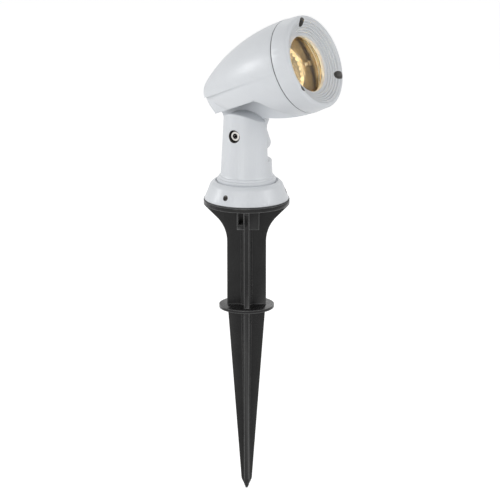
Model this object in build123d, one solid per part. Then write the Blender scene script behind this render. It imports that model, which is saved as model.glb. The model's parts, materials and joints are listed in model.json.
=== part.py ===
"""Garden spotlight on a ground spike: one named STEP file for each piece.

Millimetres, +Z up. The origin is the centre of the ground flange's underside, on the
spike's axis. +X is the way the lamp aims; the tilt bolt runs along Y, its head towards -Y.
"""
import os
from math import atan, atan2, cos, pi, radians, sin, sqrt, tan

from build123d import *

# ---- ground spike -------------------------------------------------------------------
BLADE_DEPTH = 193.0        # ground flange underside to the tip
BLADE_HALF_TOP = 18.9      # half width of the blade where it leaves the flange
BLADE_HALF_LOW = 5.2       # half width where the point starts
POINT_LENGTH = 10.0
RIB = 5.0                  # thickness of the four ribs
CORE_R = 6.0               # round core that the ribs stand on
FLANGE_R = 27.6
FLANGE_T = 3.0
SHAFT_HALF = 19.5          # half width of the upper shaft
GUSSET_R = 35.0            # arc that opens the ribs out under the top plate
PLATE_R = 42.8
PLATE_T = 4.3
PLATE_Z = 107.1            # underside of the top plate
GUSSET_LIP = 1.2           # plate overhang beyond the ribs
SPIGOT_WALL = 2.4          # ring that locates the canopy
SPIGOT_H = 11.4
SPIKE_TURN = 32.0          # the ribs stand turned to the lamp's aim at rest

# ---- cable well under the top plate (x, y measured in the spike's own directions) ----
WELL_LEFT = 9.6
WELL_RIGHT = 12.4
WELL_FRONT = 19.8
WELL_DROP = 22.7           # well floor below the plate
WELL_WALL = 1.8
WINDOW_W = 5.4
WINDOW_H = 12.2
WINDOW_SILL = 5.2          # sill above the well floor
DUCT_Y = 11.4              # cable centre in front of the spike's axis
GROMMET_R = 5.2
CABLE_R = 3.6              # supply cable that the grommet takes

# ---- base canopy --------------------------------------------------------------------
GASKET_T = 1.2
GASKET_R = 42.5
CANOPY_R = 42.1
CANOPY_SLOPE = 21.6        # degrees off the vertical
CANOPY_H = 18.5
SHOULDER_R = 4.0
CANOPY_LAND_R = 31.2       # inner edge of the canopy's top surface
RECESS_R = 30.4            # seat of the swivel foot
RECESS_DROP = 1.9
CANOPY_WEB = 5.2           # metal left under the recess
SPIGOT_GAP = 0.2
SPIGOT_BORE_R = 34.5       # canopy's inside, over the spigot
SET_SCREW_R = 2.5
SET_SCREW_L = 3.4
SET_SCREW_RISE = 7.5       # set screw axis above the canopy's rim

# ---- swivel and stem ----------------------------------------------------------------
FOOT_R = 29.4
THRUST_T = 0.5
FOOT_STEP_R = 27.6
STEM_R_LOW = 25.8          # stem radius at its lower end
STEM_R_TOP = 22.4          # stem radius at the height of the ear's crown
PIVOT_Z = 179.0
SHELF_DROP = 27.0          # lap shelf below the tilt axis
EAR_RISE = 22.4            # crown of the ear above the tilt axis
EAR_ARC_R = 33.0
LAP_GAP = 0.3              # between the ear and the tongue
TUBE_R = 9.9               # threaded tube under the foot
TUBE_BORE_R = 6.0
TUBE_DROP = 13.8
RUNNING_GAP = 0.06         # radial clearance of a turning fit
WIRE_BORE_R = 2.6          # passages for the leads
WIRE_BORE_Y = -7.6
LAP_CROSS_R = 6.3          # where the lead crosses the lap, off the tilt axis
LAP_TURN_Y = -5.5
LEAD_R = 1.9
KNUCKLE_CUP_R = 10.2       # wire space round the bolt, in the ear and in the tongue
KNUCKLE_CUP_DEPTH = 8.6
SEAL_R = 13.3
SEAL_WIRE_R = 0.9

# ---- knuckle bolt (M6) ----------------------------------------------------------------
BOLT_R = 3.0
BOLT_HEAD_R = 5.0
BOLT_HEAD_H = 6.0
BOLT_SOCKET_AF = 5.0
BOLT_SEAT_Y = 15.2         # counterbore floor in front of the lap
COUNTERBORE_R = 6.3
NUT_AF = 10.0
NUT_H = 5.0
WASHER_T = 1.2
POCKET_Y = 11.6            # floor of the nut's pocket behind the lap

# ---- head ---------------------------------------------------------------------------
TILT = 21.7                # aim above the level at rest
AXIS_RISE = 45.3           # optical axis above the tilt axis
SEAM_X = 84.0              # housing's front rim, ahead of the tilt axis
HEAD_R = 47.7
NOSE_X = -31.0
SHELL_ARC_R = 196.0        # long arc of the upper shell's outline
UNDER_ARC_R = 172.0        # long arc of the underbody's outline
STEP = 2.4                 # how far the underbody's nose stands in from the shell's
STEP_AT_RIM = 0.25         # what is left of that step at the front rim
WALL = 2.8
RELIEF_X = 52.0            # where the relief's roof turns down to its front wall
ROOF_DROP = 18.3           # relief over the ear, below the optical axis
KEEL_DROP = 21.0
KEEL_HALF = 16.0
TONGUE_R = 20.3
TONGUE_BOTTOM_R = 22.5
TONGUE_FLARE = 5.0         # how far the tongue widens where it meets the belly
SEAL_T = 1.0               # seal between housing and bezel
BEZEL_FRONT_R = 43.2       # centre of the bezel's rounded edge
BEZEL_EDGE_R = 3.5
BEZEL_DEPTH = 14.3         # bezel's back face to the centre of its rounded edge
WINDOW_R = 28.0
LIP_X = 8.0                # window's lip ahead of the bezel's back face
LIP_T = 3.8
GLASS_R = 31.4
GLASS_T = 2.4
SEAT_R = 32.6
HUB_R = 34.8
HUB_BACK = 3.5
RIPPLES = 5
RIPPLE_DEPTH = 0.45
SCREW_CIRCLE_R = 40.0
SCREW_R = 2.0
SCREW_HEAD_R = 3.5
SCREW_HEAD_H = 4.0
SCREW_SOCKET_AF = 3.0
SCREW_L = 20.0
SCREW_SEAT_X = 6.4         # counterbore floor ahead of the bezel's back face
SCREW_CBORE_R = 4.2
BOSS_R = 4.6

# ---- lamp and what holds it -----------------------------------------------------------
LAMP_R = 25.3
LAMP_FACE_X = 71.5
LAMP_RIM = 2.5
LAMP_L = 54.0
LAMP_WALL = 1.4
SLEEVE_R = 34.3
SLEEVE_T = 0.9
CARRIER_T = 1.2
CARRIER_HOLE_R = 24.3
CARRIER_SCREW_CIRCLE = 30.2
ARM_R = 41.3               # reach of the carrier's three arms
ARM_TURN_LOW = 195.0       # the lowest arm stands aside of the lap wall, in degrees
LEDGE_R = 38.5             # inner edge of the housing's ledges behind the arms
LEDGE_L = 5.0
HOLDER_R = 13.0
HOLDER_L = 22.0
PIN_SPREAD = 5.0
PIN_R = 1.3
BRACKET_T = 1.2
BRACKET_HALF = 16.2       # bracket screws, each side of the optical axis

PLATE_TOP = PLATE_Z + PLATE_T
RIM_Z = PLATE_TOP + GASKET_T
CANOPY_TOP = RIM_Z + CANOPY_H
RECESS_Z = CANOPY_TOP - RECESS_DROP
WEB_Z = RECESS_Z - CANOPY_WEB
FOOT_Z = RECESS_Z + THRUST_T + 0.05
SHELF_Z = PIVOT_Z - SHELF_DROP
BEZEL_X = SEAM_X + SEAL_T
HALF_GAP = LAP_GAP / 2
carrier_x = LAMP_FACE_X - LAMP_RIM
carrier_back = carrier_x - CARRIER_T
arm_turns = [Rot(turn, 0, 0) for turn in (60, ARM_TURN_LOW, 300)]
base_back = LAMP_FACE_X - LAMP_L + 8.0
holder_front = base_back - 0.1
holder_back = holder_front - HOLDER_L
bracket_x = holder_back - BRACKET_T

parts = {}


# ---- small makers ---------------------------------------------------------------------
def rod_z(radius, low, high, x=0.0, y=0.0):
    """Upright cylinder between two heights."""
    return Pos(x, y, (low + high) / 2) * Cylinder(radius, high - low)


def ring_z(outer, inner, low, high):
    """Upright tube between two heights."""
    return rod_z(outer, low, high) - rod_z(inner, low - 1, high + 1)


def rod_y(radius, near, far, x=0.0, z=0.0):
    """Cylinder along Y."""
    return Pos(x, (near + far) / 2, z) * Rot(90, 0, 0) * Cylinder(radius, far - near)


def rod_x(radius, back, front, y=0.0, z=0.0):
    """Cylinder along X."""
    return Pos((back + front) / 2, y, z) * Rot(0, 90, 0) * Cylinder(radius, front - back)


def block(x0, x1, y0, y1, z0, z1):
    """Box between two corners."""
    return Pos((x0 + x1) / 2, (y0 + y1) / 2, (z0 + z1) / 2) * Box(x1 - x0, y1 - y0, z1 - z0)


def turned_z(*points):
    """Solid of revolution about Z from (radius, height) points."""
    outline = Plane.XZ * Polyline(*points, close=True)
    return revolve(make_face(outline), Axis.Z)


def turned_x(*points):
    """Solid of revolution about X from (x, radius) points."""
    outline = Polyline(*points, close=True)
    return revolve(make_face(outline), Axis.X)


def slab_y(points, near, far):
    """Plate cut to (x, z) points, between two values of y."""
    outline = make_face(Plane.XZ * Polyline(*points, close=True))
    return Pos(0, far, 0) * extrude(outline, far - near, dir=(0, -1, 0))


def hexagon_x(across_flats, back, front):
    """Hexagonal bar along X."""
    side_face = Plane.YZ * RegularPolygon(across_flats / 2, 6, major_radius=False)
    return Pos(back, 0, 0) * extrude(side_face, front - back, dir=(1, 0, 0))


def in_head(shape):
    """From the head's level frame, with the tilt axis as origin, to its rest place."""
    return Pos(0, 0, PIVOT_Z) * Rot(0, -TILT, 0) * shape


def on_axis(shape):
    """From the optical axis, level, to the head's rest place."""
    return in_head(Pos(0, 0, AXIS_RISE) * shape)


def in_spike(shape):
    """From the spike's own directions to the row's."""
    return Rot(0, 0, SPIKE_TURN) * shape


def bodies_of(shape):
    """The separate solids of a result, as a list."""
    if isinstance(shape, (list, tuple)):
        return [solid for piece in shape for solid in bodies_of(piece)]
    return list(shape.solids())


def lead(points, radii, radius):
    """Round bar along straight runs joined by tangent arcs: a lead, or the way for one."""
    path = FilletPolyline(*points, radius=radii)
    solid = sweep(Plane(path @ 0, z_dir=path % 0) * Circle(radius), path)
    print("bends", radii, "volume share", round(solid.volume / (path.length * pi * radius**2), 4))
    return solid


def keep(name, shape):
    """Remember one node, as a single solid or as a group of separate ones."""
    solids = bodies_of(shape)
    parts[name] = solids[0] if len(solids) == 1 else Compound(children=solids)


# ---- ground spike -------------------------------------------------------------------
def rib_pair(points):
    """Two plates that cross on the axis, cut to one (x, z) outline."""
    plate = slab_y(points, -RIB / 2, RIB / 2)
    return plate + Rot(0, 0, 90) * plate


def gusset_outline():
    """Half outline of the upper ribs: straight shaft, arc, then 45 degrees to the plate."""
    bend = radians(45)
    top_x = PLATE_R - GUSSET_LIP
    arc_x = SHAFT_HALF + GUSSET_R * (1 - cos(bend))
    arc_top = PLATE_Z - 2.0 - (top_x - arc_x)
    arc_low = arc_top - GUSSET_R * sin(bend)
    centre_x = SHAFT_HALF + GUSSET_R
    arc_middle = (
        centre_x - GUSSET_R * cos(bend / 2),
        arc_low + GUSSET_R * sin(bend / 2),
    )
    return arc_low, arc_middle, (arc_x, arc_top), (top_x, PLATE_Z - 2.0), (top_x, PLATE_Z + 1)


def upper_ribs():
    arc_low, middle, arc_end, corner, top = gusset_outline()
    start = (SHAFT_HALF, arc_low)
    with BuildSketch(Plane.XZ) as side:
        with BuildLine():
            Line((0, 0), (SHAFT_HALF, 0))
            Line((SHAFT_HALF, 0), start)
            ThreePointArc(start, middle, arc_end)
            Line(arc_end, corner)
            Line(corner, top)
            Line(top, (0, top[1]))
            Line((0, top[1]), (0, 0))
        make_face()
    half = Pos(0, RIB / 2, 0) * extrude(side.sketch, RIB, dir=(0, -1, 0))
    return half + Rot(0, 0, 90) * half + Rot(0, 0, 180) * half + Rot(0, 0, 270) * half


well_floor = PLATE_Z - WELL_DROP
duct_x = (RIB / 2 + WELL_RIGHT - WELL_WALL) / 2

blade = rib_pair([
    (-BLADE_HALF_TOP, 1), (-BLADE_HALF_LOW, -BLADE_DEPTH + POINT_LENGTH), (0, -BLADE_DEPTH),
    (BLADE_HALF_LOW, -BLADE_DEPTH + POINT_LENGTH), (BLADE_HALF_TOP, 1),
])
tip_cone = turned_z(
    (0, 2), (60, 2), (60, -BLADE_DEPTH + POINT_LENGTH + 4),
    (BLADE_HALF_LOW + 1.6, -BLADE_DEPTH + POINT_LENGTH + 4), (1.0, -BLADE_DEPTH), (0, -BLADE_DEPTH),
)
blade = blade & tip_cone
core = turned_z(
    (0, PLATE_Z), (CORE_R, PLATE_Z), (CORE_R, 0),
    (RIB / 2 + 0.3, -BLADE_DEPTH + POINT_LENGTH), (0, -BLADE_DEPTH + POINT_LENGTH),
)
well = block(-WELL_LEFT, WELL_RIGHT, -WELL_FRONT, 0, well_floor, PLATE_Z + 1)
duct = block(RIB / 2, WELL_RIGHT - WELL_WALL, WELL_WALL - WELL_FRONT, -CORE_R,
             well_floor - 1, PLATE_Z)
pocket = block(WELL_WALL - WELL_LEFT, -RIB / 2, WELL_WALL - WELL_FRONT, -CORE_R,
               well_floor + WINDOW_SILL - WELL_WALL, PLATE_Z - 1)
window_x = WELL_WALL / 2 - WELL_LEFT
window_z = well_floor + WINDOW_SILL
window = block(window_x, window_x + WINDOW_W, -WELL_FRONT - 1, WELL_WALL - WELL_FRONT + 1,
               window_z, window_z + WINDOW_H)
grommet_hole = rod_z(GROMMET_R - 0.1, PLATE_Z - 1, PLATE_TOP + 1, duct_x, -DUCT_Y)
spigot_r = SPIGOT_BORE_R - SPIGOT_GAP

spike = blade + core + upper_ribs() + rod_z(FLANGE_R, 0, FLANGE_T)
spike = spike + rod_z(PLATE_R, PLATE_Z, PLATE_TOP)
spike = spike + ring_z(spigot_r, spigot_r - SPIGOT_WALL, PLATE_TOP - 0.5, PLATE_TOP + SPIGOT_H)
spike = spike + well - duct - pocket - window - grommet_hole

clamp_x = 21.0
clamp_y = -7.0
clamp_reach = 8.6          # clamp screws, each side of the cable
block_x = -22.5
block_half_x = 5.2
block_half_y = 12.0
block_h = 9.5
tie_screw_r = 1.5
tie_screw_l = 3.0          # thread in the top plate
tie_hole_z = PLATE_TOP - tie_screw_l - 0.3
pole_pitch = 7.6
clamp_screw_spots = [(clamp_x, clamp_y - clamp_reach), (clamp_x, clamp_y + clamp_reach)]
for spot_x, spot_y in clamp_screw_spots:
    spike = spike - rod_z(tie_screw_r + 0.05, tie_hole_z, PLATE_TOP + 1, spot_x, spot_y)
spike = spike - rod_z(tie_screw_r + 0.05, tie_hole_z, PLATE_TOP + 1, block_x, pole_pitch / 2)
keep("ground_spike", in_spike(spike))

grommet = rod_z(GROMMET_R - 0.15, PLATE_Z - 0.2, PLATE_TOP + 1.4)
grommet = grommet + rod_z(GROMMET_R + 1.2, PLATE_TOP, PLATE_TOP + 1.4)
grommet = grommet - rod_z(CABLE_R, PLATE_Z - 2, PLATE_TOP + 3)
keep("cable_grommet", in_spike(Pos(duct_x, -DUCT_Y, 0) * grommet))

# ---- cord clamp and terminal block inside the base ----------------------------------------
clamp = block(-2.5, 2.5, -clamp_reach - 3, clamp_reach + 3, 0, 2.0)
clamp = clamp + Pos(0, 0, 1.2) * Rot(0, 90, 0) * Cylinder(CABLE_R + 1.6, 5.0)
clamp = clamp - Rot(0, 90, 0) * Cylinder(CABLE_R, 8.0)
clamp = clamp - block(-5, 5, -12, 12, -8, 0)
for side in (-1, 1):
    clamp = clamp - rod_z(tie_screw_r + 0.15, -1, 4, 0, side * clamp_reach)
keep("cord_clamp", in_spike(Pos(clamp_x, clamp_y, PLATE_TOP) * clamp))


def pan_screw(length):
    """Small pan-head screw with a cross slot, head upwards, seated at z = 0."""
    head = turned_z((0, 0), (2.8, 0), (2.8, 1.0), (1.9, 1.9), (0, 2.1))
    slot = block(-1.7, 1.7, -0.35, 0.35, 1.2, 3) + block(-0.35, 0.35, -1.7, 1.7, 1.2, 3)
    return head + rod_z(tie_screw_r, -length, 0.1) - slot


clamp_screws = [
    in_spike(Pos(x, y, PLATE_TOP + 2.0) * pan_screw(tie_screw_l + 2.0))
    for x, y in clamp_screw_spots
]
keep("cord_clamp_screws", clamp_screws)

pole_bore_r = 1.7
pole_z = 2.4
block_solid = block(-block_half_x, block_half_x, -block_half_y, block_half_y, 0, block_h)
block_solid = block_solid - rod_z(tie_screw_r + 0.15, -1, block_h + 1, 0, pole_pitch / 2)
terminal_screws = []
for i in (-1, 0, 1):
    pole_y = i * pole_pitch
    block_solid = block_solid - rod_x(pole_bore_r, -9, 9, pole_y, pole_z)
    block_solid = block_solid - rod_z(1.6, pole_z, block_h + 1, -2.4, pole_y)
    block_solid = block_solid - rod_z(1.6, pole_z, block_h + 1, 2.4, pole_y)
    for side in (-2.4, 2.4):
        pole_screw = rod_z(1.45, 5.2, 8.4, side, pole_y)
        pole_screw = pole_screw - block(side - 2, side + 2, pole_y - 0.3, pole_y + 0.3, 7.6, 9)
        terminal_screws.append(in_spike(Pos(block_x, 0, PLATE_TOP) * pole_screw))
keep("terminal_block", in_spike(Pos(block_x, 0, PLATE_TOP) * block_solid))
keep("terminal_screws", terminal_screws)
block_screw = Pos(block_x, pole_pitch / 2, PLATE_TOP + block_h) * pan_screw(block_h + tie_screw_l)
keep("terminal_block_screw", in_spike(block_screw))

# ---- base gasket and canopy ----------------------------------------------------------------
keep("base_gasket", ring_z(GASKET_R, SPIGOT_BORE_R + 0.3, PLATE_TOP, RIM_Z))

slope = tan(radians(CANOPY_SLOPE))
shoulder_h = CANOPY_H - 3.4
shoulder_r = CANOPY_R - slope * shoulder_h
cavity_top = WEB_Z + 1.4
boss_r = 17.0
canopy = turned_z(
    (SPIGOT_BORE_R, RIM_Z), (CANOPY_R, RIM_Z), (shoulder_r, RIM_Z + shoulder_h),
    (shoulder_r - 2.6, CANOPY_TOP - 0.9), (CANOPY_LAND_R, CANOPY_TOP), (RECESS_R, RECESS_Z),
    (TUBE_R + RUNNING_GAP, RECESS_Z), (TUBE_R + RUNNING_GAP, WEB_Z), (boss_r, WEB_Z),
    (boss_r, cavity_top), (SPIGOT_BORE_R - 2.2, cavity_top), (SPIGOT_BORE_R, cavity_top - 1.4),
)
shoulder_edges = canopy.edges().filter_by(GeomType.CIRCLE).filter_by(
    lambda e: abs(e.center().Z - (RIM_Z + shoulder_h)) < 0.01 and e.radius > 30
)
canopy = fillet(shoulder_edges, SHOULDER_R)
land_edges = canopy.edges().filter_by(GeomType.CIRCLE).filter_by(
    lambda e: abs(e.center().Z - CANOPY_TOP) < 0.01
)
canopy = fillet(land_edges, 0.6)
set_screw_z = RIM_Z + SET_SCREW_RISE
set_screw_face = CANOPY_R - slope * SET_SCREW_RISE
set_screw_holes = [
    Rot(0, 0, 120.0 * i) * rod_y(SET_SCREW_R + 0.05, -CANOPY_R - 2, -30, 0, set_screw_z)
    for i in range(3)
]
for hole in set_screw_holes:
    canopy = canopy - hole
earth_x = -24.0
canopy = canopy - rod_z(1.55, cavity_top - 1, cavity_top + 1.6, earth_x, 0)
keep("base_canopy", canopy)

tip = spigot_r + 0.05
set_screws = []
for i in range(3):
    grub = rod_y(SET_SCREW_R, -tip - SET_SCREW_L, -tip, 0, set_screw_z)
    key = RegularPolygon(1.25, 6, major_radius=False)
    socket = Pos(0, -tip - SET_SCREW_L - 0.1, set_screw_z) * Rot(-90, 0, 0) * extrude(key, 2.1)
    set_screws.append(Rot(0, 0, 120.0 * i) * (grub - socket))
keep("base_set_screws", set_screws)

earth_screw = Pos(earth_x, 0, cavity_top) * Rot(180, 0, 0) * pan_screw(0.01)
keep("earth_screw", earth_screw + rod_z(1.5, cavity_top, cavity_top + 1.5, earth_x, 0))

# ---- swivel ---------------------------------------------------------------------------------
keep("thrust_washer", ring_z(18.0, TUBE_R + 0.4, RECESS_Z, RECESS_Z + THRUST_T))
ring_r = 23.6
o_ring = Pos(0, 0, FOOT_Z + 0.65) * Torus(ring_r, 0.85)
keep("swivel_o_ring", o_ring)

washer_z = WEB_Z - 0.05
nut_z = washer_z - 1.6
keep("swivel_washer", ring_z(14.6, TUBE_R + 0.25, nut_z, washer_z))
nut_face = RegularPolygon(13.5, 6, major_radius=False)
swivel_nut = Pos(0, 0, nut_z - 5.0) * extrude(nut_face, 5.0)
keep("swivel_nut", swivel_nut - rod_z(TUBE_R + 0.03, nut_z - 6, nut_z + 1))

# ---- stem ----------------------------------------------------------------------------------
swivel_break = FOOT_Z - TUBE_DROP + 6.0
foot_top = CANOPY_TOP + 2.6
stem_low = foot_top + 4.6
stem_top = PIVOT_Z + EAR_RISE + 4
taper = (STEM_R_LOW - STEM_R_TOP) / (PIVOT_Z + EAR_RISE - stem_low)
stem = turned_z(
    (0, FOOT_Z - TUBE_DROP), (TUBE_R - 0.6, FOOT_Z - TUBE_DROP), (TUBE_R, FOOT_Z - TUBE_DROP + 0.6),
    (TUBE_R, FOOT_Z), (FOOT_R, FOOT_Z), (FOOT_R, foot_top - 0.5), (FOOT_R - 0.5, foot_top),
    (FOOT_STEP_R, foot_top + 0.3), (FOOT_STEP_R, foot_top + 2.0),
    (FOOT_STEP_R - 0.6, foot_top + 2.5), (STEM_R_LOW + 0.6, foot_top + 2.8),
    (STEM_R_LOW, stem_low), (STEM_R_LOW - taper * (stem_top - stem_low), stem_top), (0, stem_top),
)
ear_room = block(-40, 40, -HALF_GAP, 40, SHELF_Z, stem_top + 1)
crown_centre = PIVOT_Z + EAR_RISE - EAR_ARC_R
crown = rod_y(EAR_ARC_R, -40, 40, 0, crown_centre)
below_crown = block(-40, 40, -40, 40, FOOT_Z - TUBE_DROP - 1, PIVOT_Z)
stem = stem - ear_room
stem = (stem & crown) + (stem & below_crown)
crown_edges = stem.edges().filter_by(
    lambda e: e.center().Z > PIVOT_Z + 10 and e.center().Y < -HALF_GAP - 1
)
stem = fillet(crown_edges, 1.6)
shelf_edges = stem.edges().filter_by(
    lambda e: abs(e.center().Z - SHELF_Z) < 0.05 and e.center().Y > 5
)
stem = fillet(shelf_edges, 0.8)
stem = stem - rod_z(TUBE_BORE_R, FOOT_Z - TUBE_DROP - 1, foot_top + 6)
stem = stem - rod_z(13.0, foot_top + 3, SHELF_Z - 5.5)
stem_route = [
    (0, 0, swivel_break + 0.3), (0, 0, foot_top + 2.0), (0, WIRE_BORE_Y, foot_top + 11.0),
    (0, WIRE_BORE_Y, PIVOT_Z - 16.0), (-LAP_CROSS_R, LAP_TURN_Y, PIVOT_Z - 7.0),
    (-LAP_CROSS_R, LAP_TURN_Y, PIVOT_Z), (-LAP_CROSS_R, -HALF_GAP - 0.1, PIVOT_Z),
]
stem_radii = [9.0, 9.0, 9.0, 8.0, 4.0]
stem = stem - lead(stem_route, stem_radii, WIRE_BORE_R)
cup_floor = -HALF_GAP - KNUCKLE_CUP_DEPTH
stem = stem - rod_y(KNUCKLE_CUP_R, cup_floor, 1, 0, PIVOT_Z)
stem = stem - rod_y(BOLT_R + 0.3, -30, 0, 0, PIVOT_Z)
stem = stem - rod_y(COUNTERBORE_R, -40, -BOLT_SEAT_Y, 0, PIVOT_Z)
seal_groove = rod_y(SEAL_R + 1.1, -HALF_GAP - 1.9, 1, 0, PIVOT_Z)
seal_groove = seal_groove - rod_y(SEAL_R - 1.1, -5, 2, 0, PIVOT_Z)
stem = stem - seal_groove
ring_groove = ring_z(ring_r + 1.1, ring_r - 1.1, FOOT_Z - 1, FOOT_Z + 1.6)
stem = stem - ring_groove
keep("stem", stem)
keep("stem_lead", lead(stem_route, stem_radii, LEAD_R))
block_face = block_x + block_half_x + 0.05
lead_z = PLATE_TOP + pole_z
base_route = [(block_face, 0, lead_z), (0, 0, lead_z), (0, 0, swivel_break)]
keep("base_lead", in_spike(lead(base_route, [3.6], LEAD_R)))

knuckle_seal = Pos(0, -HALF_GAP - 0.95, PIVOT_Z) * Rot(90, 0, 0) * Torus(SEAL_R, SEAL_WIRE_R)
keep("knuckle_seal", knuckle_seal)

bolt_end = POCKET_Y + WASHER_T + NUT_H + 1.0
bolt = rod_y(BOLT_R, -BOLT_SEAT_Y - 0.5, bolt_end)
bolt_head = rod_y(BOLT_HEAD_R, -BOLT_SEAT_Y - BOLT_HEAD_H, -BOLT_SEAT_Y)
rim_edges = bolt_head.edges().filter_by(GeomType.CIRCLE).sort_by(Axis.Y)[:1]
bolt_head = fillet(rim_edges, 0.7)
bolt_key = RegularPolygon(BOLT_SOCKET_AF / 2, 6, major_radius=False)
bolt_socket = Pos(0, -BOLT_SEAT_Y - BOLT_HEAD_H - 0.5, 0) * Rot(-90, 0, 0) * extrude(bolt_key, 4.0)
keep("knuckle_bolt", Pos(0, 0, PIVOT_Z) * (bolt_head + bolt - bolt_socket))

# ---- head housing --------------------------------------------------------------------------
def bullet(rim_r, arc_r, nose_x):
    """Closed body of revolution: a long arc, level at the front rim, and a round nose.

    The nose circle is centred on the axis and touches the long arc from inside.
    """
    drop = rim_r - arc_r
    length = SEAM_X - nose_x
    nose_r = (arc_r**2 - drop**2 - length**2) / (2 * (arc_r - length))
    nose_centre = nose_x + nose_r
    lean = atan2(-drop, SEAM_X - nose_centre)
    meet = (nose_centre - nose_r * cos(lean), nose_r * sin(lean))
    nose_middle = (nose_centre - nose_r * cos(lean / 2), nose_r * sin(lean / 2))
    half_turn = (lean + radians(90)) / 2
    arc_middle = (SEAM_X - arc_r * cos(half_turn), drop + arc_r * sin(half_turn))
    with BuildSketch() as outline:
        with BuildLine():
            ThreePointArc((nose_x, 0), nose_middle, meet)
            ThreePointArc(meet, arc_middle, (SEAM_X, rim_r))
            Line((SEAM_X, rim_r), (SEAM_X, 0))
            Line((SEAM_X, 0), (nose_x, 0))
        make_face()
    return revolve(outline.sketch, Axis.X)


upper_half = block(-80, 120, -80, 80, 0, 80)
lower_half = block(-80, 120, -80, 80, -80, 0)
shell = bullet(HEAD_R, SHELL_ARC_R, NOSE_X) & upper_half
under_nose = NOSE_X + STEP
underbody = bullet(HEAD_R - STEP_AT_RIM, UNDER_ARC_R, under_nose) & lower_half
keel_side = slab_y([
    (-10, 4), (NOSE_X + 1.6, 4), (NOSE_X + 1.4, -3), (NOSE_X + 5.2, -10), (NOSE_X + 8.6, -15.5),
    (NOSE_X + 10.4, -KEEL_DROP + 1.4), (NOSE_X + 12.4, -KEEL_DROP), (30, -KEEL_DROP), (30, 4),
], -30, 30)
keel_curve = Spline((NOSE_X, 0), (NOSE_X + 5, 8.2), (NOSE_X + 14, 12.6), (-5, 15.4), (8, KEEL_HALF),
                    tangents=[(0, 1), (1, 0)])
keel_close = Polyline((8, KEEL_HALF), (32, KEEL_HALF), (32, 0), (NOSE_X, 0))
keel_half = extrude(make_face(Curve() + [keel_curve, keel_close]), 60)
keel_plan = Pos(0, 0, -40) * (keel_half + mirror(keel_half, Plane.XZ))
keel = keel_side & keel_plan

relief_front = (RELIEF_X, -ROOF_DROP - 3.7)
relief_end = (RELIEF_X + 24.0, -HEAD_R)
near_relief = slab_y([
    (-60, -ROOF_DROP), (RELIEF_X - 6.0, -ROOF_DROP), relief_front, relief_end,
    (relief_end[0] + 2, -70), (-60, -70),
], -70, HALF_GAP)
head_body = shell + underbody + keel - near_relief

tongue = rod_z(TONGUE_R, -30, AXIS_RISE - ROOF_DROP - 1)
tongue = tongue - block(-40, 40, -40, HALF_GAP, -40, 60)
tongue_foot = rod_y(TONGUE_BOTTOM_R, -1, 40) + block(-40, 40, -1, 40, 0, 60)
tongue = tongue & tongue_foot
tongue_edges = tongue.edges().filter_by(
    lambda e: e.center().Z < -10 and e.center().Y > HALF_GAP + 1
)
tongue = fillet(tongue_edges, 1.5)
flare_top = 5.0
flare = turned_z(
    (0, -3), (TONGUE_R, -3), (TONGUE_R + 1.2, 0), (TONGUE_R + TONGUE_FLARE, flare_top),
    (TONGUE_R + TONGUE_FLARE, flare_top + 8), (0, flare_top + 8),
)
tongue = tongue + (flare - block(-40, 40, -40, HALF_GAP, -40, 60))
head_body = Pos(0, 0, AXIS_RISE) * head_body + tongue

wire_space = bullet(HEAD_R - STEP_AT_RIM - WALL, UNDER_ARC_R - WALL, under_nose + WALL + 2.0)
front_run = relief_end[0] - relief_front[0]
front_drop = relief_front[1] - relief_end[1]
front_length = sqrt(front_run**2 + front_drop**2)
wall_x = WALL * front_drop / front_length
wall_z = WALL * front_run / front_length
wire_space = wire_space - slab_y([
    (-60, -ROOF_DROP + WALL), (RELIEF_X - 5.0, -ROOF_DROP + WALL),
    (relief_front[0] + wall_x, relief_front[1] + wall_z),
    (relief_end[0] + wall_x, relief_end[1] + wall_z), (relief_end[0] + wall_x, -70), (-60, -70),
], -70, HALF_GAP + WALL)
boss_back = SEAM_X - 21
boss = Pos(0, 0, SCREW_CIRCLE_R) * rod_x(BOSS_R, boss_back, SEAM_X + 1)
boss = boss + block(boss_back, SEAM_X + 1, -BOSS_R, BOSS_R, SCREW_CIRCLE_R, HEAD_R)
rim_boss = Pos(0, 0, SCREW_CIRCLE_R) * rod_x(BOSS_R, SEAM_X - 1, BEZEL_X)
rim_boss = rim_boss & rod_x(HEAD_R - WALL - STEP_AT_RIM, SEAM_X - 1, BEZEL_X)
screw_hole = Pos(0, 0, SCREW_CIRCLE_R) * rod_x(SCREW_R + 0.05, SEAM_X - 19, BEZEL_X + 1)
thirds = [Rot(120.0 * place, 0, 0) for place in range(3)]
for turn in thirds:
    wire_space = wire_space - turn * boss
for turn in arm_turns:
    wire_space = wire_space - turn * block(carrier_back - LEDGE_L, carrier_back, -3, 3, LEDGE_R, HEAD_R)
for side in (-1, 1):
    wire_space = wire_space - rod_x(3.4, bracket_x - 16, bracket_x, side * BRACKET_HALF)
head_body = head_body - Pos(0, 0, AXIS_RISE) * wire_space
for turn in thirds:
    head_body = head_body + Pos(0, 0, AXIS_RISE) * turn * rim_boss
for turn in thirds:
    head_body = head_body - Pos(0, 0, AXIS_RISE) * turn * screw_hole
for side in (-1, 1):
    bracket_hole = rod_x(1.55, bracket_x - 9, bracket_x + 1, side * BRACKET_HALF)
    head_body = head_body - Pos(0, 0, AXIS_RISE) * bracket_hole

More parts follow.
